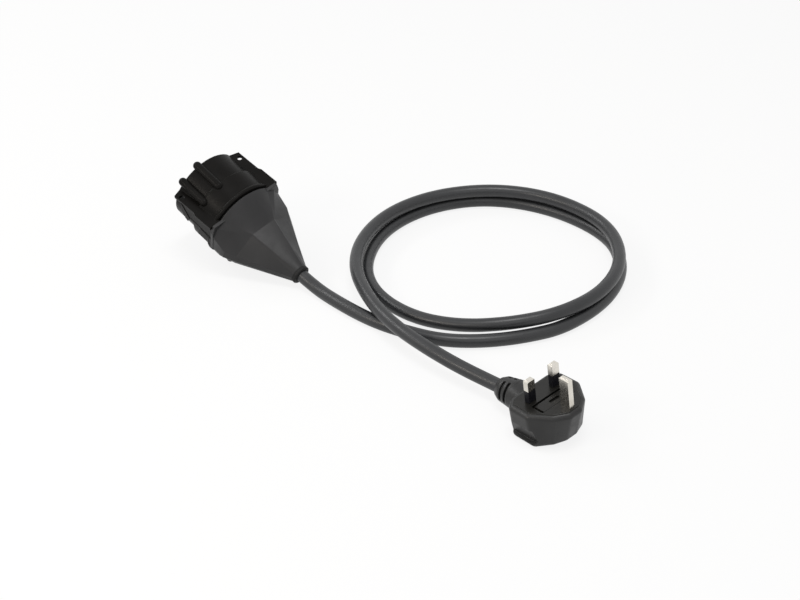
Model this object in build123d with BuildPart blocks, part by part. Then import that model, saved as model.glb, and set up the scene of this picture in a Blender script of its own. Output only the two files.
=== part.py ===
# EV charger lead adapter: a round keyed coupling, 1.4 m of cable and a fused three-pin mains plug
# Frame: +Y runs from the cable exit toward the coupling face, +Z is up, the floor is z = 0
import os
from math import cos, pi, radians, sin, tan

from build123d import *

# Driving dimensions, all in millimetres and degrees
COUPLING_LENGTH = 110.0
COUPLING_TILT = 21.0
COUPLING_ROLL = 13.5
EXIT_X = 2.3
EXIT_Y = -55.1
EXIT_HEIGHT = 8.87

BARREL_RADIUS = 28.5
BARREL_STEP_RADIUS = 30.5
BARREL_BORE_RADIUS = 24.5
BARREL_REAR = 43.0
BARREL_STEP_DEPTH = 22.0
RIDGE_RADIUS = 32.0
RECESS_DEPTH = 15.0
CARRIER_FRONT = 18.0
CARRIER_RADIUS = 24.0
CARRIER_REAR = 36.0
SHELL_FRONT = 45.0
SHELL_REAR = 107.0
PARTING = -2.0
CORNER_DEPTH = 59.0
APEX_DEPTH = 66.8

LUG_SPAN = 32.8
LUG_HOLE_RADIUS = 2.0
LUG_HOLE_LATERAL = 28.4
LUG_THICKNESS = 2.4
LUG_REAR_RISE = 20.0
LUG_SLOPE = 7.0
WALL_THICKNESS = 0.9
WALL_INSET = 1.4
TAB_INSET = 1.0
TAB_THICKNESS = 3.0
KEY_ANGLES = (104.0, 135.0)
KEY_CENTRE_RADIUS = 30.0
KEY_RADIUS = 3.2
KEY_FRONT = 0.6
KEY_LENGTH = 24.0
SPIGOT_RADIUS = 22.4
SPIGOT_REAR = 50.0
SEAL_RADIUS = 28.2
CAVITY_RADIUS = 22.5
FLANGE_THICKNESS = 2.5
BELLY_DEPTH = 54.0
BOSS_HEIGHT = 3.0
CONTACT_LENGTH = 26.0

SCREW_TOP = 3.0
SCREW_RADIUS = 1.3
SCREW_HEAD_RADIUS = 2.6
SCREW_HEAD_HEIGHT = 2.2

CABLE_RADIUS = 4.9
CABLE_START = 91.5
CLAMP_RADIUS = 7.5
CLAMP_FRONT = 92.0
CLAMP_WIDTH = 6.0
CLAMP_SCREW_LATERAL = 6.2
CLAMP_SCREW_RADIUS = 0.8
CLAMP_SCREW_LENGTH = 5.0
BUSH_RADIUS = 6.0
BUSH_FRONT = 99.0
BUSH_COLLAR_RADIUS = 7.5

LOOP_CENTRE_X = 112.4
LOOP_CENTRE_Y = -90.7
LOOP_CORNER_RADIUS = 96.5

PLUG_X = -13.8
PLUG_Y = -234.5
PLUG_HEIGHT = 28.0
PLUG_HEADING = -96.7
PLUG_PITCH = 4.7
PLUG_ROLL = 5.2
PLUG_THICKNESS = 26.0
PANEL_RISE = 0.4
PANEL_THICKNESS = 8.0
CABLE_DEPTH = 13.0
RELIEF_ROOT = -10.0
RELIEF_TURN = 4.0
RELIEF_LENGTH = 29.0
RELIEF_RADIUS = 10.4
RELIEF_END_RADIUS = 5.9
CABLE_INSET = 10.0
PIN_SPACING = 22.2
PIN_WIDTH = 6.35
PIN_THICKNESS = 4.0
PIN_LENGTH = 17.7
EARTH_WIDTH = 4.0
EARTH_THICKNESS = 8.0
EARTH_LENGTH = 22.7
EARTH_PITCH = 22.2
SLEEVE_LENGTH = 9.0
PIN_ROOT = 7.0
PIN_CORE_WIDTH = 5.15
PIN_CORE_THICKNESS = 2.8
PIN_CHAMFER = 1.1
BRIDGE_DEPTH = 16.0
BLOCK_CENTRE = 5.0
BLOCK_SIZE = (25.0, 33.0)
SCOOP_SLANT = 15.0
DRAWER_CENTRE = 10.9
DRAWER_WIDTH = 8.6
DRAWER_LENGTH = 28.0
DRAWER_GAP = 0.25
GROOVE_WIDTH = 1.6
GROOVE_DEPTH = 2.4
FUSE_RADIUS = 3.175
FUSE_LENGTH = 25.4
FUSE_AXIS_DEPTH = 6.4
FUSE_CAP_LENGTH = 6.0
FUSE_BAY_DEPTH = 13.0

# Axis of the coupling, from the cable exit up to the coupling face
tilt = radians(COUPLING_TILT)
roll = radians(COUPLING_ROLL)
axis_up = Vector(0, cos(tilt), sin(tilt))
lateral = Vector(cos(roll), -sin(roll) * sin(tilt), sin(roll) * cos(tilt))
exit_point = Vector(EXIT_X, EXIT_Y, EXIT_HEIGHT)

# The coupling plane lies on the coupling face, z runs toward the cable and y up across the barrel
coupling = Plane(origin=exit_point + axis_up * COUPLING_LENGTH, x_dir=lateral, z_dir=-axis_up)

# The plug lies a little tipped on its back. Its plane lies on the pin face, x runs from the cable to the
# earth pin and z along the pins
heading = radians(PLUG_HEADING)
pitch = radians(PLUG_PITCH)
plug_roll = radians(PLUG_ROLL)
plug_along = Vector(cos(heading) * cos(pitch), sin(heading) * cos(pitch), sin(pitch))
level_side = Vector(-sin(heading), cos(heading), 0)
plug_across = level_side * cos(plug_roll) + plug_along.cross(level_side) * sin(plug_roll)
plug_plane = Plane(
    origin=(EXIT_X + PLUG_X, EXIT_Y + PLUG_Y, PLUG_HEIGHT),
    x_dir=plug_along,
    z_dir=plug_along.cross(plug_across),
)
plug_axis = Axis(plug_plane.origin, plug_plane.z_dir)

# The relief plane stands square to the cable at the root of the plug's strain relief, z toward the cable
relief_turn = radians(RELIEF_TURN)
relief = Plane(
    origin=plug_plane.from_local_coords((RELIEF_ROOT, 0, -CABLE_DEPTH)),
    x_dir=plug_plane.y_dir * cos(relief_turn) - plug_plane.x_dir * sin(relief_turn),
    z_dir=-(plug_plane.x_dir * cos(relief_turn) + plug_plane.y_dir * sin(relief_turn)),
)


os.makedirs("parts", exist_ok=True)


def save(builder, name):
    """Label one finished piece and write it to its own file."""
    builder.part.label = name
    export_step(builder.part, f"parts/{name}.step")


def coupling_point(across, rise, depth):
    """Point given across, above and behind the centre of the coupling face."""
    return coupling.from_local_coords((across, rise, depth))


def side_plane(across, rise, depth):
    """Plane square to the rise direction of the coupling, at one point of it."""
    return Plane(origin=coupling_point(across, rise, depth), x_dir=coupling.x_dir, z_dir=coupling.y_dir)


def half_shell_section(depth, side, cheek, flank, shoulder, crown):
    """Half section of the housing on one side of the parting line, with a curved crown."""
    with BuildSketch(coupling.offset(depth)) as section:
        with BuildLine():
            Polyline((side, PARTING), cheek, flank, shoulder)
            ThreePointArc(shoulder, (0, crown), (-shoulder[0], shoulder[1]))
            Polyline(
                (-shoulder[0], shoulder[1]),
                (-flank[0], flank[1]),
                (-cheek[0], cheek[1]),
                (-side, PARTING),
            )
            Line((-side, PARTING), (side, PARTING))
        make_face()
    return section.sketch.face()


# Screws that hold the lower half to the upper half, as lateral place, depth and seat of the head
screw_places = [(23.5, 57.5, -12.5), (-23.5, 57.5, -12.5), (12.8, 83.0, -6.5), (-12.8, 83.0, -6.5)]

# Half plane through the axis of the coupling, x across and y toward the cable
half_plane = Plane(origin=coupling.origin, x_dir=coupling.x_dir, z_dir=-coupling.y_dir)
coupling_axis = Axis(coupling.origin, coupling.z_dir)

# Cavity inside both housing halves: wide behind the contacts, narrow around the cable
with BuildPart() as cavity:
    with BuildSketch(half_plane):
        with BuildLine():
            Polyline(
                (0, SHELL_FRONT - 2),
                (CAVITY_RADIUS, SHELL_FRONT - 2),
                (CAVITY_RADIUS, SHELL_FRONT + 7),
                (11, APEX_DEPTH - 2),
                (9.5, APEX_DEPTH + 2),
                (9.5, 84),
                (CLAMP_RADIUS, 88),
                (CLAMP_RADIUS, BUSH_FRONT - 1),
                (BUSH_RADIUS, BUSH_FRONT),
                (BUSH_RADIUS, SHELL_REAR + 1),
                (0, SHELL_REAR + 1),
                close=True,
            )
        make_face()
    revolve(axis=coupling_axis)

# Upper half: a flat facet between two tapered wedge ribs, running down to the neck
upper_sections = [
    half_shell_section(SHELL_FRONT, 32.2, (32.0, 11.0), (29.7, 17.5), (22.7, 21.3), 31.0),
    half_shell_section(CORNER_DEPTH, 32.5, (31.2, 3.5), (17.9, 16.0), (14.9, 17.9), 21.4),
    half_shell_section(APEX_DEPTH, 28.6, (26.8, 2.5), (11.4, 15.0), (10.5, 15.9), 16.3),
    half_shell_section(SHELL_REAR, 7.3, (7.2, 1.2), (5.7, 4.6), (3.4, 6.6), 7.4),
]
with BuildPart() as upper_shell:
    loft(sections=upper_sections, ruled=True)
    with BuildSketch(coupling.offset(SHELL_FRONT)):
        with BuildLine():
            Polyline(
                (32.5, PARTING),
                (32.5, 14),
                (30.5, 21.5),
                (-30.5, 21.5),
                (-32.5, 14),
                (-32.5, PARTING),
                close=True,
            )
        make_face()
    extrude(amount=FLANGE_THICKNESS)
    add(cavity.part, mode=Mode.SUBTRACT)
    for across, depth, seat in screw_places:
        with BuildSketch(side_plane(across, PARTING, depth)):
            Circle(SCREW_RADIUS)
        extrude(amount=SCREW_TOP - PARTING, mode=Mode.SUBTRACT)
save(upper_shell, "upper_shell")

# Lower half: the same taper with a deeper belly, on which the coupling leans
lower_sections = [
    half_shell_section(SHELL_FRONT, 32.2, (31.4, -6.0), (27.0, -13.0), (14.0, -25.0), -28.5),
    half_shell_section(BELLY_DEPTH, 32.3, (31.2, -6.5), (25.0, -16.0), (12.0, -29.0), -29.8),
    half_shell_section(APEX_DEPTH, 28.6, (27.2, -6.0), (18.0, -14.5), (9.0, -22.5), -22.8),
    half_shell_section(SHELL_REAR, 7.3, (7.0, -3.2), (5.8, -4.6), (3.4, -6.6), -7.4),
]
with BuildPart() as lower_shell:
    loft(sections=lower_sections, ruled=True)
    with BuildSketch(coupling.offset(SHELL_FRONT)):
        with BuildLine():
            Polyline((32.5, PARTING), (-32.5, PARTING), (-32.5, -5), (-29, -9), (29, -9), (32.5, -5), close=True)
        make_face()
    extrude(amount=FLANGE_THICKNESS)
    add(cavity.part, mode=Mode.SUBTRACT)
    for across, depth, seat in screw_places:
        with BuildSketch(side_plane(across, seat, depth)):
            Circle(SCREW_RADIUS)
        extrude(amount=PARTING - seat, mode=Mode.SUBTRACT)
        with BuildSketch(side_plane(across, seat, depth)):
            Circle(SCREW_HEAD_RADIUS)
        extrude(amount=-12, mode=Mode.SUBTRACT)
save(lower_shell, "lower_shell")

# Housing screws, with a cross slot in each head
with BuildPart() as housing_screws:
    for across, depth, seat in screw_places:
        with BuildSketch(side_plane(across, seat, depth)):
            Circle(SCREW_RADIUS)
        extrude(amount=SCREW_TOP - seat)
        with BuildSketch(side_plane(across, seat, depth)):
            Circle(SCREW_HEAD_RADIUS)
        extrude(amount=-SCREW_HEAD_HEIGHT)
        with BuildSketch(side_plane(across, seat - SCREW_HEAD_HEIGHT, depth)):
            Rectangle(3.6, 0.8)
            Rectangle(0.8, 3.6)
        extrude(amount=1.2, mode=Mode.SUBTRACT)
save(housing_screws, "housing_screws")

# Barrel of the coupling: stepped outside, open in front, with two rounded keys and a ridge at its rear
with BuildPart() as coupling_barrel:
    with BuildSketch(half_plane):
        with BuildLine():
            Polyline(
                (BARREL_BORE_RADIUS, 0),
                (BARREL_RADIUS - 0.8, 0),
                (BARREL_RADIUS, 0.8),
                (BARREL_RADIUS, BARREL_STEP_DEPTH),
                (BARREL_STEP_RADIUS, BARREL_STEP_DEPTH + 1.5),
                (BARREL_STEP_RADIUS, BARREL_REAR - 3.5),
            )
            ThreePointArc(
                (BARREL_STEP_RADIUS, BARREL_REAR - 3.5),
                (RIDGE_RADIUS, BARREL_REAR - 1.75),
                (BARREL_STEP_RADIUS, BARREL_REAR),
            )
            Polyline(
                (BARREL_STEP_RADIUS, BARREL_REAR),
                (SPIGOT_RADIUS, BARREL_REAR),
                (SPIGOT_RADIUS, SPIGOT_REAR),
                (SPIGOT_RADIUS - 2.0, SPIGOT_REAR),
                (SPIGOT_RADIUS - 2.0, CARRIER_REAR),
                (CARRIER_RADIUS, CARRIER_REAR),
                (CARRIER_RADIUS, RECESS_DEPTH),
                (BARREL_BORE_RADIUS, RECESS_DEPTH),
                (BARREL_BORE_RADIUS, 0),
            )
        make_face()
    revolve(axis=coupling_axis)
    # Rounded keys along the upper left of the barrel
    for key_angle in KEY_ANGLES:
        key_across = KEY_CENTRE_RADIUS * cos(radians(key_angle))
        key_rise = KEY_CENTRE_RADIUS * sin(radians(key_angle))
        with BuildSketch(Plane(
            origin=coupling_point(key_across, key_rise, KEY_FRONT),
            x_dir=coupling.x_dir,
            z_dir=coupling.z_dir,
        )):
            Circle(KEY_RADIUS)
        extrude(amount=KEY_LENGTH)
        for key_end in (KEY_FRONT, KEY_FRONT + KEY_LENGTH):
            with Locations(coupling_point(key_across, key_rise, key_end)):
                Sphere(KEY_RADIUS)
    # Lug plates with a fixing hole near each front corner and a jog halfway along the outer edge. The wall under
    # each plate and its two lower tabs are given as depth and rise
    wall_outline = [(10.5, 14.4), (SHELL_FRONT, 18.0), (SHELL_FRONT, -1.8), (30.6, 0.9), (20.3, 3.3), (10.5, 9.6)]
    front_tab = [(10.6, 14.0), (20.3, 4.5), (18.4, -0.6), (15.2, 0.9), (11.0, 6.2), (10.2, 10.0)]
    rear_tab = [(32.9, 5.6), (SHELL_FRONT, 4.0), (SHELL_FRONT, -2.4), (29.8, -3.5), (30.6, 0.9)]
    lug_slope = radians(LUG_SLOPE)
    lug_plane = Plane(
        origin=coupling_point(0, LUG_REAR_RISE, BARREL_REAR),
        x_dir=coupling.x_dir,
        z_dir=coupling.y_dir * cos(lug_slope) - coupling.z_dir * sin(lug_slope),
    )
    for hand in (-1, 1):
        with BuildSketch(lug_plane):
            with BuildLine():
                Polyline(
                    (hand * 22.5, BARREL_REAR - SHELL_FRONT + 0.4),
                    (hand * LUG_SPAN, BARREL_REAR - SHELL_FRONT + 0.4),
                    (hand * LUG_SPAN, 15.5),
                    (hand * (LUG_SPAN - 1.2), 18.0),
                    (hand * (LUG_SPAN - 1.2), 40.4),
                    (hand * 24.5, 42.6),
                    (hand * 22.5, 42.6),
                    close=True,
                )
            make_face()
            with Locations((hand * LUG_HOLE_LATERAL, 35.5)):
                Circle(LUG_HOLE_RADIUS, mode=Mode.SUBTRACT)
        extrude(amount=-LUG_THICKNESS)
        # Side wall under the outer edge of the plate, with two lower tabs
        with BuildSketch(Plane(
            origin=coupling_point(hand * (LUG_SPAN - WALL_INSET), 0, 0),
            x_dir=coupling.z_dir,
            z_dir=coupling.x_dir * hand,
        )):
            with BuildLine():
                Polyline(*[(depth, -hand * rise) for depth, rise in wall_outline], close=True)
            make_face()
        extrude(amount=-WALL_THICKNESS)
        for tab_outline in (front_tab, rear_tab):
            with BuildSketch(Plane(
                origin=coupling_point(hand * (LUG_SPAN - TAB_INSET), 0, 0),
                x_dir=coupling.z_dir,
                z_dir=coupling.x_dir * hand,
            )):
                with BuildLine():
                    Polyline(*[(depth, -hand * rise) for depth, rise in tab_outline], close=True)
                make_face()
            extrude(amount=-TAB_THICKNESS)
        # Floor of the side channel, tying the wall to the barrel
        with BuildSketch(coupling.offset(21.0)):
            with Locations((hand * (LUG_SPAN - 3.6), 5.0)):
                Rectangle(4.8, 2.0)
        extrude(amount=BARREL_REAR - 21.0)
    with BuildSketch(coupling):
        Circle(BARREL_BORE_RADIUS)
    extrude(amount=RECESS_DEPTH, mode=Mode.SUBTRACT)
    # Groove for the seal
    with BuildSketch(coupling.offset(BARREL_REAR)):
        Circle(SEAL_RADIUS)
        Circle(SPIGOT_RADIUS, mode=Mode.SUBTRACT)
    extrude(amount=SHELL_FRONT - BARREL_REAR, mode=Mode.SUBTRACT)
save(coupling_barrel, "coupling_barrel")

# Rubber seal in the groove between the barrel and the housing halves
with BuildPart() as coupling_seal:
    with BuildSketch(coupling.offset(BARREL_REAR)):
        Circle(SEAL_RADIUS)
        Circle(SPIGOT_RADIUS, mode=Mode.SUBTRACT)
    extrude(amount=SHELL_FRONT - BARREL_REAR)
save(coupling_seal, "coupling_seal")

# Contact carrier: a disc with one raised boss for each socket
contact_places = {
    "live_contact": (9.5, 6.5, 3.1),
    "neutral_contact": (-9.5, 6.5, 3.1),
    "earth_contact": (0.0, -11.0, 3.1),
    "pilot_contact": (12.5, -7.0, 2.1),
    "proximity_contact": (-12.5, -7.0, 2.1),
}
with BuildPart() as contact_carrier:
    with BuildSketch(coupling.offset(CARRIER_FRONT)):
        Circle(CARRIER_RADIUS)
    extrude(amount=CARRIER_REAR - CARRIER_FRONT)
    for across, rise, contact_radius in contact_places.values():
        with BuildSketch(coupling.offset(CARRIER_FRONT - BOSS_HEIGHT)):
            with Locations((across, rise)):
                Circle(contact_radius + 1.6)
        extrude(amount=BOSS_HEIGHT)
    for across, rise, contact_radius in contact_places.values():
        with BuildSketch(coupling.offset(CARRIER_FRONT - BOSS_HEIGHT)):
            with Locations((across, rise)):
                Circle(contact_radius - 1.3)
        extrude(amount=2.0, mode=Mode.SUBTRACT)
        with BuildSketch(coupling.offset(CARRIER_FRONT - BOSS_HEIGHT + 2.0)):
            with Locations((across, rise)):
                Circle(contact_radius)
        extrude(amount=BOSS_HEIGHT + CARRIER_REAR - CARRIER_FRONT, mode=Mode.SUBTRACT)
save(contact_carrier, "contact_carrier")

# Socket contacts: brass tubes slotted at the front, solid at the rear where the core is crimped
for contact_name, (across, rise, contact_radius) in contact_places.items():
    with BuildPart() as contact:
        with BuildSketch(coupling.offset(CARRIER_FRONT - BOSS_HEIGHT + 2.0)):
            with Locations((across, rise)):
                Circle(contact_radius)
        extrude(amount=CONTACT_LENGTH)
        with BuildSketch(coupling.offset(CARRIER_FRONT - BOSS_HEIGHT + 2.0)):
            with Locations((across, rise)):
                Circle(contact_radius - 1.3)
        extrude(amount=14.0, mode=Mode.SUBTRACT)
        with BuildSketch(coupling.offset(CARRIER_FRONT - BOSS_HEIGHT + 2.0)):
            with Locations((across, rise)):
                Rectangle(2 * contact_radius, 0.5)
        extrude(amount=10.0, mode=Mode.SUBTRACT)
    save(contact, contact_name)

# Insulated cores from the cut end of the cable jacket to the contacts
contact_rear = CARRIER_FRONT - BOSS_HEIGHT + 2.0 + CONTACT_LENGTH
core_ends = {
    "live_core": ((2.2, 1.4), (9.5, 6.5), 1.5),
    "neutral_core": ((-2.2, 1.4), (-9.5, 6.5), 1.5),
    "earth_core": ((0.0, -2.4), (0.0, -11.0), 1.5),
    "pilot_core": ((2.9, -1.6), (12.5, -7.0), 0.6),
    "proximity_core": ((-2.9, -1.6), (-12.5, -7.0), 0.6),
}
for core_name, (cable_place, contact_place, core_radius) in core_ends.items():
    with BuildPart() as core:
        with BuildLine() as core_path:
            Spline(
                coupling_point(cable_place[0], cable_place[1], CABLE_START),
                coupling_point(contact_place[0], contact_place[1], contact_rear),
                tangents=(-coupling.z_dir, -coupling.z_dir),
            )
        with BuildSketch(Plane(origin=core_path.line @ 0, z_dir=core_path.line % 0)):
            Circle(core_radius)
        sweep()
    save(core, core_name)

# Cable clamp: a ring around the jacket with a screw on each side
with BuildPart() as cable_clamp:
    with BuildSketch(coupling.offset(CLAMP_FRONT)):
        Circle(CLAMP_RADIUS)
        Circle(CABLE_RADIUS, mode=Mode.SUBTRACT)
    extrude(amount=CLAMP_WIDTH)
    for hand in (-1, 1):
        with BuildSketch(side_plane(hand * CLAMP_SCREW_LATERAL, -CLAMP_SCREW_LENGTH / 2, CLAMP_FRONT + CLAMP_WIDTH / 2)):
            Circle(CLAMP_SCREW_RADIUS)
        extrude(amount=CLAMP_SCREW_LENGTH, mode=Mode.SUBTRACT)
save(cable_clamp, "cable_clamp")

with BuildPart() as clamp_screws:
    for hand in (-1, 1):
        with BuildSketch(side_plane(hand * CLAMP_SCREW_LATERAL, -CLAMP_SCREW_LENGTH / 2, CLAMP_FRONT + CLAMP_WIDTH / 2)):
            Circle(CLAMP_SCREW_RADIUS)
        extrude(amount=CLAMP_SCREW_LENGTH)
save(clamp_screws, "clamp_screws")

# Rubber bush in the neck, with the end ring that shows around the cable
with BuildPart() as cable_bush:
    with BuildSketch(half_plane):
        with BuildLine():
            Polyline(
                (CABLE_RADIUS, BUSH_FRONT),
                (BUSH_RADIUS, BUSH_FRONT),
                (BUSH_RADIUS, SHELL_REAR),
                (BUSH_COLLAR_RADIUS, SHELL_REAR),
                (BUSH_COLLAR_RADIUS, COUPLING_LENGTH - 0.8),
                (BUSH_COLLAR_RADIUS - 0.8, COUPLING_LENGTH),
                (CABLE_RADIUS, COUPLING_LENGTH),
                close=True,
            )
        make_face()
    revolve(axis=coupling_axis)
save(cable_bush, "cable_bush")

# Cable centre line: along the coupling axis, down to the floor, twice round the loop and on to the plug
def floor_point(across, along, height):
    """Point of the cable given from the cable exit."""
    return Vector(EXIT_X + across, EXIT_Y + along, height)


lead_points = [
    coupling_point(0, 0, CABLE_START),
    coupling_point(0, 0, COUPLING_LENGTH) - axis_up * 11.4,
    floor_point(-3.4, -42.5, CABLE_RADIUS),
    floor_point(-3.6, -74.0, CABLE_RADIUS),
    floor_point(2.2, -102.0, CABLE_RADIUS),
    floor_point(11.5, -127.5, CABLE_RADIUS),
    floor_point(29.6, -149.2, CABLE_RADIUS),
    floor_point(53.0, -167.0, CABLE_RADIUS),
]
# Corners of the two turns as angle round the loop, distance from its centre and height of the centre line
first_turn = [(angle, LOOP_CORNER_RADIUS, CABLE_RADIUS) for angle in range(-108, 135, 30)]
second_turn = [
    (156, 94.0, 4.9),
    (180, 91.3, 4.9),
    (203, 88.4, 7.6),
    (227, 89.6, 12.0),
    (251, 91.6, 14.6),
    (277, 94.0, 15.4),
    (305, 95.0, 15.4),
    (335, 94.6, 15.4),
    (365, 93.8, 15.4),
    (395, 93.4, 15.4),
    (425, 94.4, 15.4),
    (453, 97.4, 15.4),
    (479, 101.2, 15.4),
    (503, 105.4, 15.4),
]
loop_points = [
    floor_point(
        LOOP_CENTRE_X + radius * cos(radians(angle)),
        LOOP_CENTRE_Y + radius * sin(radians(angle)),
        height,
    )
    for angle, radius, height in first_turn + second_turn
]
plug_cable_end = relief.origin + relief.z_dir * (RELIEF_LENGTH - CABLE_INSET)
plug_points = [
    floor_point(5.2, -66.0, 15.4),
    floor_point(-7.6, -100.0, 15.4),
    floor_point(-13.0, -131.0, 15.2),
    floor_point(-13.2, -162.0, 13.4),
    plug_cable_end + relief.z_dir * (CABLE_INSET + 5.0),
    plug_cable_end,
]
cable_points = lead_points + loop_points + plug_points


def bend_radius(before, corner, after):
    """Radius of the arc that rounds one corner of the route."""
    arriving = corner - before
    leaving = after - corner
    turn = radians(arriving.get_angle(leaving))
    return 0.45 * min(arriving.length, leaving.length) / tan(turn / 2)


bend_radii = [
    bend_radius(before, corner, after)
    for before, corner, after in zip(cable_points, cable_points[1:], cable_points[2:])
]

with BuildPart() as cable:
    with BuildLine() as cable_path:
        FilletPolyline(*cable_points, radius=bend_radii)
    with BuildSketch(Plane(origin=cable_path.line @ 0, z_dir=cable_path.line % 0)):
        Circle(CABLE_RADIUS)
    sweep()
save(cable, "cable")
cable_length = sum(edge.length for edge in cable_path.line.edges())
print("cable length", round(cable_length, 1), "bend radii", [round(radius) for radius in bend_radii])
print("cable volume over section times length", round(cable.part.volume / (pi * CABLE_RADIUS**2 * cable_length), 4))

# Plug outlines, seen from the pins with the earth end along x, at the pin face, at the back and for the panel
face_outline = [(-13, -17), (-7.5, -24.5), (9, -24.8), (24, -15), (31, -5)]
back_outline = [(-12, -16), (-7, -23), (13, -23.5), (20.5, -13), (23.5, -4.5)]
panel_outline = [(-10, -15), (-6.5, -21), (8, -21.3), (21.5, -13), (27.5, -4.5)]


def mirrored(outline):
    """Closed outline from the points on one side of the plug."""
    return outline + [(along, -across) for along, across in reversed(outline)]


# Moulded plug body with a tapered outline, rounded edges, slanted finger scoops and a slotted strain relief
scoop_slant = radians(SCOOP_SLANT)
with BuildPart() as plug_body:
    with BuildSketch(plug_plane.offset(-PLUG_THICKNESS)) as back_section:
        with BuildLine():
            Polyline(*mirrored(back_outline), close=True)
        make_face()
        fillet(back_section.vertices(), 5.0)
    with BuildSketch(plug_plane.offset(-PANEL_RISE)) as face_section:
        with BuildLine():
            Polyline(*mirrored(face_outline), close=True)
        make_face()
        fillet(face_section.vertices(), 5.0)
    loft()
    fillet(plug_body.faces().sort_by(plug_axis)[-1].edges(), 3.0)
    fillet(plug_body.faces().sort_by(plug_axis)[0].edges(), 3.5)
    for hand in (-1, 1):
        with BuildSketch(Plane(
            origin=plug_plane.from_local_coords((1.2, hand * 23.2, -12.0)),
            x_dir=plug_plane.x_dir,
            z_dir=plug_plane.y_dir * hand * cos(scoop_slant) - plug_plane.z_dir * sin(scoop_slant),
        )):
            with Locations((0, hand * 5.5)):
                RectangleRounded(26.5, 11.0, 4.0)
        extrude(amount=8.0, mode=Mode.SUBTRACT)
    with BuildSketch(relief):
        RectangleRounded(23.0, 18.0, 6.0)
    with BuildSketch(relief.offset(14.0)):
        Circle(RELIEF_RADIUS)
    loft()
    with BuildSketch(Plane(origin=relief.origin, x_dir=relief.x_dir, z_dir=-relief.y_dir)):
        with BuildLine():
            Polyline(
                (0, 13.0),
                (RELIEF_RADIUS, 13.0),
                (RELIEF_RADIUS, 15.0),
                (RELIEF_RADIUS - 1.4, RELIEF_LENGTH - 4.5),
                (RELIEF_END_RADIUS + 1.2, RELIEF_LENGTH - 0.8),
                (RELIEF_END_RADIUS, RELIEF_LENGTH),
                (0, RELIEF_LENGTH),
                close=True,
            )
        make_face()
    revolve(axis=Axis(relief.origin, relief.z_dir))
    for slot_start in (16.0, 20.4):
        with BuildSketch(relief.offset(slot_start)):
            Circle(RELIEF_RADIUS + 2.0)
            Circle(RELIEF_RADIUS - 3.0, mode=Mode.SUBTRACT)
            Rectangle(4.4, 40.0, mode=Mode.SUBTRACT)
            with Locations((0, 22.0)):
                Rectangle(40.0, 40.0, mode=Mode.SUBTRACT)
        extrude(amount=2.2, mode=Mode.SUBTRACT)
    with BuildSketch(relief.offset(RELIEF_LENGTH - CABLE_INSET)):
        Circle(CABLE_RADIUS)
    extrude(amount=CABLE_INSET + 1.0, mode=Mode.SUBTRACT)
    with BuildSketch(plug_plane.offset(-PANEL_THICKNESS)) as pocket:
        with BuildLine():
            Polyline(*mirrored(panel_outline), close=True)
        make_face()
        fillet(pocket.vertices(), 3.0)
    extrude(amount=PANEL_THICKNESS + 1.0, mode=Mode.SUBTRACT)
    with BuildSketch(plug_plane.offset(-BRIDGE_DEPTH)):
        with Locations((BLOCK_CENTRE, 0)):
            Rectangle(*BLOCK_SIZE)
    extrude(amount=BRIDGE_DEPTH - PANEL_THICKNESS, mode=Mode.SUBTRACT)
save(plug_body, "plug_body")

# Pin panel that carries the pins and the fuse
pin_places = {"live": (0.0, PIN_SPACING / 2), "neutral": (0.0, -PIN_SPACING / 2)}
with BuildPart() as plug_panel:
    with BuildSketch(plug_plane.offset(-PANEL_THICKNESS)) as panel:
        with BuildLine():
            Polyline(*mirrored(panel_outline), close=True)
        make_face()
        fillet(panel.vertices(), 3.0)
    extrude(amount=PANEL_THICKNESS)
    chamfer(plug_panel.faces().sort_by(plug_axis)[-1].edges(), 0.35)
    with BuildSketch(plug_plane.offset(-BRIDGE_DEPTH)):
        with Locations((BLOCK_CENTRE, 0)):
            Rectangle(*BLOCK_SIZE)
    extrude(amount=BRIDGE_DEPTH - PANEL_THICKNESS)
    for along, across in pin_places.values():
        with BuildSketch(plug_plane.offset(-PIN_ROOT)):
            with Locations((along, across)):
                Rectangle(PIN_CORE_THICKNESS, PIN_CORE_WIDTH)
        extrude(amount=PIN_ROOT, mode=Mode.SUBTRACT)
    with BuildSketch(plug_plane.offset(-PIN_ROOT)):
        with Locations((EARTH_PITCH, 0)):
            Rectangle(EARTH_THICKNESS, EARTH_WIDTH)
    extrude(amount=PIN_ROOT, mode=Mode.SUBTRACT)
    with BuildSketch(plug_plane.offset(-FUSE_BAY_DEPTH)):
        with Locations((DRAWER_CENTRE, 0)):
            Rectangle(DRAWER_WIDTH + 2 * DRAWER_GAP, DRAWER_LENGTH + 2 * DRAWER_GAP)
    extrude(amount=FUSE_BAY_DEPTH, mode=Mode.SUBTRACT)
    # Finger groove along the cable side of the drawer and round its near end
    with BuildSketch(plug_plane.offset(-GROOVE_DEPTH)):
        with Locations((DRAWER_CENTRE - (GROOVE_WIDTH + DRAWER_GAP) / 2, -GROOVE_WIDTH / 2)):
            Rectangle(DRAWER_WIDTH + GROOVE_WIDTH + DRAWER_GAP, DRAWER_LENGTH + GROOVE_WIDTH)
    extrude(amount=GROOVE_DEPTH, mode=Mode.SUBTRACT)
save(plug_panel, "plug_panel")

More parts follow.
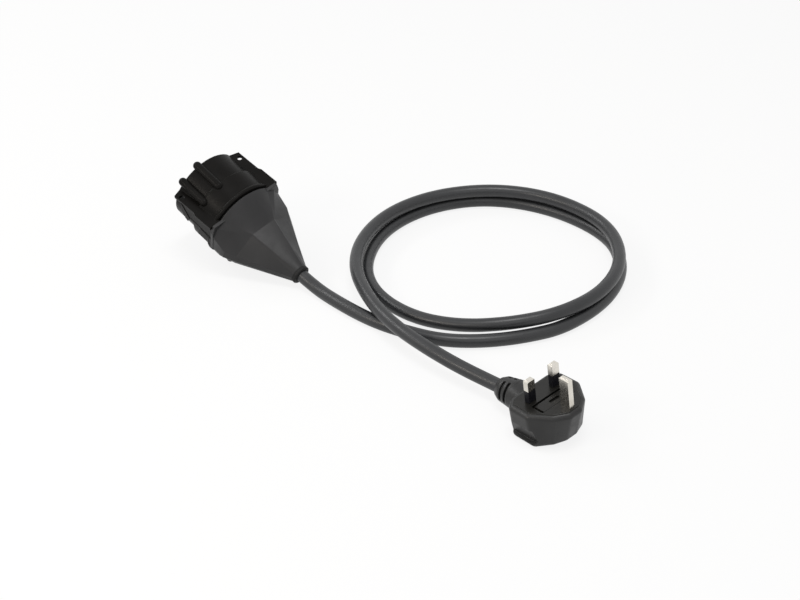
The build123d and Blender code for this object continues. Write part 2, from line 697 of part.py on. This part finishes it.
# Live and neutral pins with a thinner core under an insulating sleeve
for pin_name, (along, across) in pin_places.items():
    with BuildPart() as pin:
        with BuildSketch(plug_plane.offset(SLEEVE_LENGTH)):
            with Locations((along, across)):
                Rectangle(PIN_THICKNESS, PIN_WIDTH)
        extrude(amount=PIN_LENGTH - SLEEVE_LENGTH)
        chamfer(pin.faces().sort_by(Axis.Z)[-1].edges(), PIN_CHAMFER)
        with BuildSketch(plug_plane.offset(-PIN_ROOT)):
            with Locations((along, across)):
                Rectangle(PIN_CORE_THICKNESS, PIN_CORE_WIDTH)
        extrude(amount=PIN_ROOT + SLEEVE_LENGTH)
    save(pin, pin_name + "_pin")
    with BuildPart() as sleeve:
        with BuildSketch(plug_plane):
            with Locations((along, across)):
                Rectangle(PIN_THICKNESS, PIN_WIDTH)
                Rectangle(PIN_CORE_THICKNESS, PIN_CORE_WIDTH, mode=Mode.SUBTRACT)
        extrude(amount=SLEEVE_LENGTH)
    save(sleeve, pin_name + "_pin_sleeve")

# Earth pin, longer and turned a quarter turn
with BuildPart() as earth_pin:
    with BuildSketch(plug_plane.offset(-PIN_ROOT)):
        with Locations((EARTH_PITCH, 0)):
            Rectangle(EARTH_THICKNESS, EARTH_WIDTH)
    extrude(amount=PIN_ROOT + EARTH_LENGTH)
    chamfer(earth_pin.faces().sort_by(Axis.Z)[-1].edges(), PIN_CHAMFER)
save(earth_pin, "earth_pin")

# Fuse axis, across the panel below the drawer lid
fuse_plane = Plane(
    origin=plug_plane.from_local_coords((DRAWER_CENTRE, 0, -FUSE_AXIS_DEPTH)),
    x_dir=plug_plane.x_dir,
    z_dir=plug_plane.y_dir,
)

# Fuse drawer: a lid with a screwdriver slot and a trough that grips the upper half of the fuse
with BuildPart() as fuse_drawer:
    with BuildSketch(plug_plane.offset(-FUSE_AXIS_DEPTH)):
        with Locations((DRAWER_CENTRE, 0)):
            Rectangle(DRAWER_WIDTH, DRAWER_LENGTH)
    extrude(amount=FUSE_AXIS_DEPTH)
    with BuildSketch(plug_plane):
        with Locations((DRAWER_CENTRE - 0.4, 0)):
            SlotOverall(9.0, 2.4, rotation=90)
    extrude(amount=-1.6, mode=Mode.SUBTRACT)
    with BuildSketch(fuse_plane.offset(-FUSE_LENGTH / 2)):
        Circle(FUSE_RADIUS)
    extrude(amount=FUSE_LENGTH, mode=Mode.SUBTRACT)
save(fuse_drawer, "fuse_drawer")

with BuildPart() as fuse_body:
    with BuildSketch(fuse_plane.offset(FUSE_CAP_LENGTH - FUSE_LENGTH / 2)):
        Circle(FUSE_RADIUS - 0.3)
    extrude(amount=FUSE_LENGTH - 2 * FUSE_CAP_LENGTH)
save(fuse_body, "fuse_body")

with BuildPart() as fuse_caps:
    for hand in (-1, 1):
        with BuildSketch(fuse_plane.offset(hand * FUSE_LENGTH / 2)):
            Circle(FUSE_RADIUS)
        extrude(amount=-hand * FUSE_CAP_LENGTH)
save(fuse_caps, "fuse_caps")

# Spring clips under the two fuse caps
clip_bottom = FUSE_BAY_DEPTH - FUSE_AXIS_DEPTH
with BuildPart() as fuse_clips:
    for hand in (-1, 1):
        with BuildSketch(fuse_plane.offset(hand * (FUSE_LENGTH / 2 - 0.5))):
            with BuildLine():
                Polyline(
                    (-3.9, 0.6),
                    (3.9, 0.6),
                    (3.9, clip_bottom),
                    (-3.9, clip_bottom),
                    close=True,
                )
            make_face()
            Circle(FUSE_RADIUS + 0.25, mode=Mode.SUBTRACT)
        extrude(amount=-hand * 4.5)
save(fuse_clips, "fuse_clips")
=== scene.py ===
from math import cos, radians, sin

import bpy
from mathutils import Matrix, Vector


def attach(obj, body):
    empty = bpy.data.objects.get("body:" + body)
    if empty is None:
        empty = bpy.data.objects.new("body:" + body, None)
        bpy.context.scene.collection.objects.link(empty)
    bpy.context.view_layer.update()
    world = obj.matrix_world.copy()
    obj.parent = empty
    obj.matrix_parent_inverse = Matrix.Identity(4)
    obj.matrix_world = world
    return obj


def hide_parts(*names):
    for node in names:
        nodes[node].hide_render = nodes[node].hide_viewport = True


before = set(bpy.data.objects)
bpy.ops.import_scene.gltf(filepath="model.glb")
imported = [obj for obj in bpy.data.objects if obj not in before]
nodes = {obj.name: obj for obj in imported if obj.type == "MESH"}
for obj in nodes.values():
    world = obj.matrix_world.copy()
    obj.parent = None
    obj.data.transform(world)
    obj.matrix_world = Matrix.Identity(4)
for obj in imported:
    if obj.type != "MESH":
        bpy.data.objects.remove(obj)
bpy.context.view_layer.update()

# The coupling, the cable and the plug are given in millimetres and degrees, the rest in metres
MM = 0.001

# Coupling axis and cable exit
COUPLING_LENGTH = 110.0
COUPLING_TILT = 21.0
EXIT = Vector((2.3, -55.1, 8.87))
AXIS_UP = Vector((0, cos(radians(COUPLING_TILT)), sin(radians(COUPLING_TILT))))

# Plug, tipped toward its cable and to one side
PLUG_PLACE = (-13.8, -234.5)
PLUG_HEIGHT = 28.0
PLUG_HEADING = -96.7
PLUG_PITCH = 4.7
PLUG_ROLL = 5.2
CABLE_DEPTH = 13.0
RELIEF_ROOT = -10.0
RELIEF_TURN = 4.0
RELIEF_LENGTH = 29.0

# Cable: its start is given behind the coupling face, its end inside the strain relief
CABLE_RADIUS = 4.9
CABLE_START = 91.5
CABLE_INSET = 10.0
STRAIGHT_AT_EXIT = 11.4
STRAIGHT_AT_PLUG = 5.0
LOOP_CENTRE = (112.4, -90.7)

# Height of the cable's middle where it lies on the turn below
UPPER_HEIGHT = 15.4

# Points on the floor from the cable exit to the loop: across and along from the exit
LEAD = [
    (-3.4, -42.5),
    (-3.6, -74.0),
    (2.2, -102.0),
    (11.5, -127.5),
    (29.6, -149.2),
    (53.0, -167.0),
]

# Points of the two turns: angle round the loop's centre, radius and height
FIRST_TURN = [
    (-108, 96.0, CABLE_RADIUS),
    (-78, 95.2, CABLE_RADIUS),
    (-50, 98.2, CABLE_RADIUS),
    (-24, 100.0, CABLE_RADIUS),
    (10, 95.6, CABLE_RADIUS),
    (42, 97.2, CABLE_RADIUS),
    (72, 96.5, CABLE_RADIUS),
    (102, 96.5, CABLE_RADIUS),
    (132, 97.4, CABLE_RADIUS),
]
SECOND_TURN = [
    (156, 97.8, CABLE_RADIUS),
    (180, 94.2, CABLE_RADIUS),
    (203, 89.8, 6.9),
    (227, 89.6, 12.0),
    (251, 91.6, 14.6),
    (277, 94.0, UPPER_HEIGHT),
    (305, 96.6, UPPER_HEIGHT),
    (335, 98.8, UPPER_HEIGHT),
    (366, 95.6, UPPER_HEIGHT),
    (395, 94.2, UPPER_HEIGHT),
    (425, 94.4, UPPER_HEIGHT),
    (453, 97.4, UPPER_HEIGHT),
    (479, 101.2, UPPER_HEIGHT),
    (503, 106.6, UPPER_HEIGHT),
]

# Points from the loop to the plug: across and along from the exit, and height
TO_PLUG = [
    (2.8, -65.4, UPPER_HEIGHT),
    (-8.6, -99.4, UPPER_HEIGHT),
    (-13.0, -131.0, 15.2),
    (-13.2, -162.0, 13.4),
]


def coupling_axis_point(depth):
    """Point on the coupling axis, given behind the coupling face."""
    return EXIT + AXIS_UP * (COUPLING_LENGTH - depth)


def floor_point(across, along, height=CABLE_RADIUS):
    """Point given from the cable exit, with its height above the floor."""
    return Vector((EXIT.x + across, EXIT.y + along, height))


def loop_point(angle, radius, height):
    """Point of a turn, given round the loop's centre."""
    return floor_point(
        LOOP_CENTRE[0] + radius * cos(radians(angle)),
        LOOP_CENTRE[1] + radius * sin(radians(angle)),
        height,
    )


def plug_relief():
    """Root of the strain relief of the tipped plug, and its direction toward the cable."""
    heading = radians(PLUG_HEADING)
    pitch = radians(PLUG_PITCH)
    roll = radians(PLUG_ROLL)
    turn = radians(RELIEF_TURN)
    along = Vector((cos(heading) * cos(pitch), sin(heading) * cos(pitch), sin(pitch)))
    level_side = Vector((-sin(heading), cos(heading), 0))
    across = level_side * cos(roll) + along.cross(level_side) * sin(roll)
    pin_face = floor_point(*PLUG_PLACE, PLUG_HEIGHT)
    root = pin_face + along * RELIEF_ROOT - along.cross(across) * CABLE_DEPTH
    return root, -(along * cos(turn) + across * sin(turn))


def cable_route():
    """Control points of the cable: down to the floor, twice round the loop and on to the plug."""
    relief_root, relief_out = plug_relief()
    plug_end = relief_root + relief_out * (RELIEF_LENGTH - CABLE_INSET)
    return [
        coupling_axis_point(CABLE_START),
        EXIT - AXIS_UP * STRAIGHT_AT_EXIT,
        *(floor_point(*place) for place in LEAD),
        *(loop_point(*place) for place in FIRST_TURN + SECOND_TURN),
        *(floor_point(*place) for place in TO_PLUG),
        plug_end + relief_out * (CABLE_INSET + STRAIGHT_AT_PLUG),
        plug_end,
    ]


# Materials
def node_tree(name):
    """New material with its shader node, ready for more nodes."""
    material = bpy.data.materials.new(name)
    material.use_nodes = True
    return material, material.node_tree, material.node_tree.nodes["Principled BSDF"]


def add_noise(tree, scale, detail, roughness=0.55):
    """Noise texture in object space, so that it has the same grain on every piece."""
    coordinates = tree.nodes.new("ShaderNodeTexCoord")
    noise = tree.nodes.new("ShaderNodeTexNoise")
    noise.inputs["Scale"].default_value = scale
    noise.inputs["Detail"].default_value = detail
    noise.inputs["Roughness"].default_value = roughness
    tree.links.new(coordinates.outputs["Object"], noise.inputs["Vector"])
    return noise.outputs["Fac"]


def spread(tree, source, low, high):
    """Maps the usual reach of a noise value onto a range."""
    mapping = tree.nodes.new("ShaderNodeMapRange")
    mapping.inputs["From Min"].default_value = 0.3
    mapping.inputs["From Max"].default_value = 0.7
    mapping.inputs["To Min"].default_value = low
    mapping.inputs["To Max"].default_value = high
    tree.links.new(source, mapping.inputs["Value"])
    return mapping.outputs["Result"]


def tint(tree, source, dark, light):
    """Colour that drifts between two tones with a noise value."""
    ramp = tree.nodes.new("ShaderNodeValToRGB")
    ramp.color_ramp.elements[0].position = 0.3
    ramp.color_ramp.elements[0].color = (*dark, 1.0)
    ramp.color_ramp.elements[1].position = 0.72
    ramp.color_ramp.elements[1].color = (*light, 1.0)
    tree.links.new(source, ramp.inputs["Fac"])
    return ramp.outputs["Color"]


def add_relief(tree, shader, height, strength, depth, edge):
    """Fine bump. Where a radius is given for the edges, sharp ones also look rounded."""
    bump = tree.nodes.new("ShaderNodeBump")
    bump.inputs["Strength"].default_value = strength
    bump.inputs["Distance"].default_value = depth
    tree.links.new(height, bump.inputs["Height"])
    if edge:
        bevel = tree.nodes.new("ShaderNodeBevel")
        bevel.samples = 6
        bevel.inputs["Radius"].default_value = edge
        tree.links.new(bevel.outputs["Normal"], bump.inputs["Normal"])
    tree.links.new(bump.outputs["Normal"], shader.inputs["Normal"])


def moulded(name, dark, light, roughness, specular, grain_scale, grain_depth, edge=0.0005):
    """Moulded plastic or rubber: a slow drift of tone, a fine grain and eased edges."""
    material, tree, shader = node_tree(name)
    drift = add_noise(tree, scale=55.0, detail=5.0)
    smudge = add_noise(tree, scale=130.0, detail=6.0, roughness=0.65)
    grain = add_noise(tree, scale=grain_scale, detail=3.0, roughness=0.6)
    rough = spread(tree, smudge, low=roughness - 0.06, high=roughness + 0.07)
    tree.links.new(tint(tree, drift, dark, light), shader.inputs["Base Color"])
    tree.links.new(rough, shader.inputs["Roughness"])
    add_relief(tree, shader, grain, strength=0.55, depth=grain_depth, edge=edge)
    shader.inputs["Specular IOR Level"].default_value = specular
    return material


def metal(name, dark, light, roughness):
    """Plated or turned metal with a faint drift of tone and fine rubbing marks."""
    material, tree, shader = node_tree(name)
    shader.inputs["Metallic"].default_value = 1.0
    drift = add_noise(tree, scale=90.0, detail=4.0)
    rub = add_noise(tree, scale=900.0, detail=5.0, roughness=0.7)
    rough = spread(tree, rub, low=roughness - 0.05, high=roughness + 0.08)
    tree.links.new(tint(tree, drift, dark, light), shader.inputs["Base Color"])
    tree.links.new(rough, shader.inputs["Roughness"])
    add_relief(tree, shader, rub, strength=0.25, depth=0.00003, edge=0.0004)
    return material


housing = moulded(
    "housing_plastic",
    dark=(0.014, 0.014, 0.0145),
    light=(0.021, 0.0205, 0.0215),
    roughness=0.44,
    specular=0.34,
    grain_scale=2600.0,
    grain_depth=0.00006,
    edge=0.0007,
)
barrel = moulded(
    "barrel_plastic",
    dark=(0.0062, 0.0058, 0.0054),
    light=(0.0098, 0.0092, 0.0086),
    roughness=0.32,
    specular=0.06,
    grain_scale=2600.0,
    grain_depth=0.00004,
    edge=0.0006,
)
carrier = moulded(
    "carrier_plastic",
    dark=(0.026, 0.026, 0.027),
    light=(0.038, 0.038, 0.039),
    roughness=0.5,
    specular=0.4,
    grain_scale=2600.0,
    grain_depth=0.00004,
)
rubber = moulded(
    "soft_rubber",
    dark=(0.008, 0.008, 0.008),
    light=(0.013, 0.013, 0.013),
    roughness=0.62,
    specular=0.22,
    grain_scale=3400.0,
    grain_depth=0.00006,
)
seal = moulded(
    "seal_rubber",
    dark=(0.030, 0.030, 0.030),
    light=(0.042, 0.042, 0.042),
    roughness=0.6,
    specular=0.3,
    grain_scale=3400.0,
    grain_depth=0.00006,
)
jacket = moulded(
    "cable_jacket",
    dark=(0.0165, 0.0172, 0.0188),
    light=(0.0225, 0.0236, 0.0258),
    roughness=0.36,
    specular=0.48,
    grain_scale=3000.0,
    grain_depth=0.00002,
    edge=None,
)
moulding = moulded(
    "plug_moulding",
    dark=(0.0135, 0.0135, 0.0135),
    light=(0.021, 0.021, 0.021),
    roughness=0.40,
    specular=0.34,
    grain_scale=2400.0,
    grain_depth=0.00006,
    edge=0.0007,
)
panel = moulded(
    "plug_panel_plastic",
    dark=(0.007, 0.0068, 0.006),
    light=(0.0115, 0.0108, 0.0095),
    roughness=0.30,
    specular=0.28,
    grain_scale=2600.0,
    grain_depth=0.00004,
    edge=0.0004,
)
sleeve = moulded(
    "pin_sleeve_plastic",
    dark=(0.0070, 0.0070, 0.0095),
    light=(0.0095, 0.0095, 0.0125),
    roughness=0.35,
    specular=0.16,
    grain_scale=2600.0,
    grain_depth=0.00003,
    edge=0.0003,
)
ceramic = moulded(
    "fuse_ceramic",
    dark=(0.74, 0.72, 0.66),
    light=(0.82, 0.80, 0.75),
    roughness=0.3,
    specular=0.5,
    grain_scale=1800.0,
    grain_depth=0.00002,
)
brown = moulded(
    "core_brown",
    dark=(0.16, 0.07, 0.03),
    light=(0.22, 0.10, 0.05),
    roughness=0.5,
    specular=0.5,
    grain_scale=2600.0,
    grain_depth=0.00003,
)
blue = moulded(
    "core_blue",
    dark=(0.03, 0.12, 0.38),
    light=(0.05, 0.17, 0.48),
    roughness=0.5,
    specular=0.5,
    grain_scale=2600.0,
    grain_depth=0.00003,
)
green = moulded(
    "core_green",
    dark=(0.14, 0.34, 0.06),
    light=(0.34, 0.42, 0.05),
    roughness=0.5,
    specular=0.5,
    grain_scale=260.0,
    grain_depth=0.00003,
)
black = moulded(
    "core_black",
    dark=(0.02, 0.02, 0.02),
    light=(0.03, 0.03, 0.03),
    roughness=0.5,
    specular=0.4,
    grain_scale=2600.0,
    grain_depth=0.00003,
)
plated = metal("plated_pins", (0.60, 0.57, 0.51), (0.76, 0.73, 0.67), roughness=0.2)
steel = metal("plated_steel", (0.46, 0.46, 0.47), (0.60, 0.60, 0.61), roughness=0.32)
black_steel = metal("blackened_steel", (0.05, 0.05, 0.05), (0.09, 0.09, 0.09), roughness=0.42)
brass = metal("turned_brass", (0.62, 0.46, 0.20), (0.76, 0.60, 0.30), roughness=0.28)

finishes = {
    housing: ["upper_shell", "lower_shell"],
    barrel: ["coupling_barrel"],
    carrier: ["contact_carrier", "cable_clamp"],
    rubber: ["cable_bush"],
    seal: ["coupling_seal"],
    moulding: ["plug_body"],
    panel: ["plug_panel", "fuse_drawer"],
    sleeve: ["live_pin_sleeve", "neutral_pin_sleeve"],
    plated: ["live_pin", "neutral_pin", "earth_pin"],
    steel: ["clamp_screws", "fuse_caps"],
    black_steel: ["housing_screws"],
    brass: [
        "live_contact",
        "neutral_contact",
        "earth_contact",
        "pilot_contact",
        "proximity_contact",
        "fuse_clips",
    ],
    ceramic: ["fuse_body"],
    brown: ["live_core"],
    blue: ["neutral_core"],
    green: ["earth_core"],
    black: ["pilot_core", "proximity_core"],
}
for material, names in finishes.items():
    for name in names:
        for material_slot in nodes[name].material_slots:
            material_slot.material = material


# Cable
def make_cable():
    """Round jacket along one smooth spline with the route's points as control points."""
    curve = bpy.data.curves.new("cable_jacket", "CURVE")
    curve.dimensions = "3D"
    curve.bevel_depth = CABLE_RADIUS * MM
    curve.bevel_resolution = 16
    curve.resolution_u = 24
    curve.use_fill_caps = True
    route = cable_route()
    spline = curve.splines.new("NURBS")
    spline.points.add(len(route) - 1)
    for control, place in zip(spline.points, route):
        control.co = (*(place * MM), 1.0)
    spline.order_u = 3
    spline.use_endpoint_u = True
    piece = bpy.data.objects.new("cable_jacket", curve)
    bpy.context.scene.collection.objects.link(piece)
    curve.materials.append(jacket)
    return piece


cable = make_cable()
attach(cable, "adapter")
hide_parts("cable")

# Stage: a pale floor and a white world, soft studio light and a camera at the photograph's angle
FLOOR_REACH = 4.0
FLOOR_DROP = 0.0002
FLOOR_COLOUR = (0.92, 0.92, 0.92, 1.0)
WHITE = (1.0, 1.0, 1.0)

# Share of the floor's white that is its own, so that a faint shadow stays
FLOOR_GLOW = 0.84

# Strength of the world as it lights the object, and as it is seen
SKY_LIGHT = 0.45
SKY_SEEN = 1.0


def seen_directly(tree):
    """One for rays from the camera, a mirror or a clear piece, nought for the rest."""
    light_path = tree.nodes.new("ShaderNodeLightPath")
    total = light_path.outputs["Is Camera Ray"]
    for name in ("Is Glossy Ray", "Is Transmission Ray"):
        joined = tree.nodes.new("ShaderNodeMath")
        joined.operation = "MAXIMUM"
        tree.links.new(total, joined.inputs[0])
        tree.links.new(light_path.outputs[name], joined.inputs[1])
        total = joined.outputs["Value"]
    return total


def floor_material():
    """White that is partly the floor's own glow and partly lit, so that it takes a shadow."""
    material = bpy.data.materials.new("floor_white")
    material.use_nodes = True
    tree = material.node_tree
    tree.nodes.clear()
    output = tree.nodes.new("ShaderNodeOutputMaterial")
    mix = tree.nodes.new("ShaderNodeMixShader")
    diffuse = tree.nodes.new("ShaderNodeBsdfDiffuse")
    diffuse.inputs["Color"].default_value = FLOOR_COLOUR
    white = tree.nodes.new("ShaderNodeEmission")
    white.inputs["Strength"].default_value = 1.0
    scale = tree.nodes.new("ShaderNodeMath")
    scale.operation = "MULTIPLY"
    scale.inputs[1].default_value = FLOOR_GLOW
    tree.links.new(seen_directly(tree), scale.inputs[0])
    tree.links.new(scale.outputs["Value"], mix.inputs["Fac"])
    tree.links.new(diffuse.outputs["BSDF"], mix.inputs[1])
    tree.links.new(white.outputs["Emission"], mix.inputs[2])
    tree.links.new(mix.outputs["Shader"], output.inputs["Surface"])
    return material


def make_floor():
    """Large square floor just under the object."""
    mesh = bpy.data.meshes.new("floor")
    corners = [
        (-FLOOR_REACH, -FLOOR_REACH, 0),
        (FLOOR_REACH, -FLOOR_REACH, 0),
        (FLOOR_REACH, FLOOR_REACH, 0),
        (-FLOOR_REACH, FLOOR_REACH, 0),
    ]
    mesh.from_pydata(corners, [], [(0, 1, 2, 3)])
    floor = bpy.data.objects.new("floor", mesh)
    floor.location.z = -FLOOR_DROP
    bpy.context.scene.collection.objects.link(floor)
    mesh.materials.append(floor_material())


def area_light(name, place, target, size, power, colour=WHITE):
    """Soft box at a place, aimed at a target, with its power in watts."""
    light = bpy.data.lights.new(name, "AREA")
    light.shape = "RECTANGLE"
    light.size = size[0]
    light.size_y = size[1]
    light.energy = power
    light.color = colour
    lamp = bpy.data.objects.new(name, light)
    lamp.location = place
    aim = Vector(target) - Vector(place)
    lamp.rotation_euler = aim.to_track_quat("-Z", "Y").to_euler()
    bpy.context.scene.collection.objects.link(lamp)


make_floor()
area_light(
    "top_box",
    place=(-0.08, -0.3, 1.3),
    target=(0.05, -0.1, 0.0),
    size=(0.5, 0.3),
    power=5.5,
)
area_light(
    "back_box",
    place=(-0.3, 0.9, 0.9),
    target=(0.0, -0.05, 0.0),
    size=(0.9, 0.2),
    power=4.0,
)
area_light(
    "left_box",
    place=(-1.0, 0.1, 0.7),
    target=(0.0, -0.05, 0.0),
    size=(0.7, 0.2),
    power=4.0,
    colour=(1.0, 0.92, 0.82),
)
area_light(
    "camera_fill",
    place=(-0.5, -1.1, 0.9),
    target=(0.0, -0.1, 0.0),
    size=(0.6, 0.4),
    power=0.8,
)

world = bpy.data.worlds.new("studio")
bpy.context.scene.world = world
world.use_nodes = True
world_tree = world.node_tree
background = world_tree.nodes["Background"]
background.inputs["Color"].default_value = (*WHITE, 1.0)
sky_level = world_tree.nodes.new("ShaderNodeMapRange")
sky_level.inputs["To Min"].default_value = SKY_LIGHT
sky_level.inputs["To Max"].default_value = SKY_SEEN
world_tree.links.new(seen_directly(world_tree), sky_level.inputs["Value"])
world_tree.links.new(sky_level.outputs["Result"], background.inputs["Strength"])

# Camera, solved from the cable loop and the mains pins in the photograph
CAMERA_PLACE = (-0.69895, -0.7842, 0.668)
CAMERA_PITCH = 34.0
CAMERA_TURN = -48.0
CAMERA_LENS = 73.35
SENSOR_WIDTH = 36.0
camera_data = bpy.data.cameras.new("camera")
camera_data.lens = CAMERA_LENS
camera_data.sensor_width = SENSOR_WIDTH
camera = bpy.data.objects.new("camera", camera_data)
camera.location = CAMERA_PLACE
camera.rotation_euler = (radians(90.0 - CAMERA_PITCH), 0.0, radians(CAMERA_TURN))
bpy.context.scene.collection.objects.link(camera)
bpy.context.scene.camera = camera
bpy.context.scene.view_settings.view_transform = "Standard"
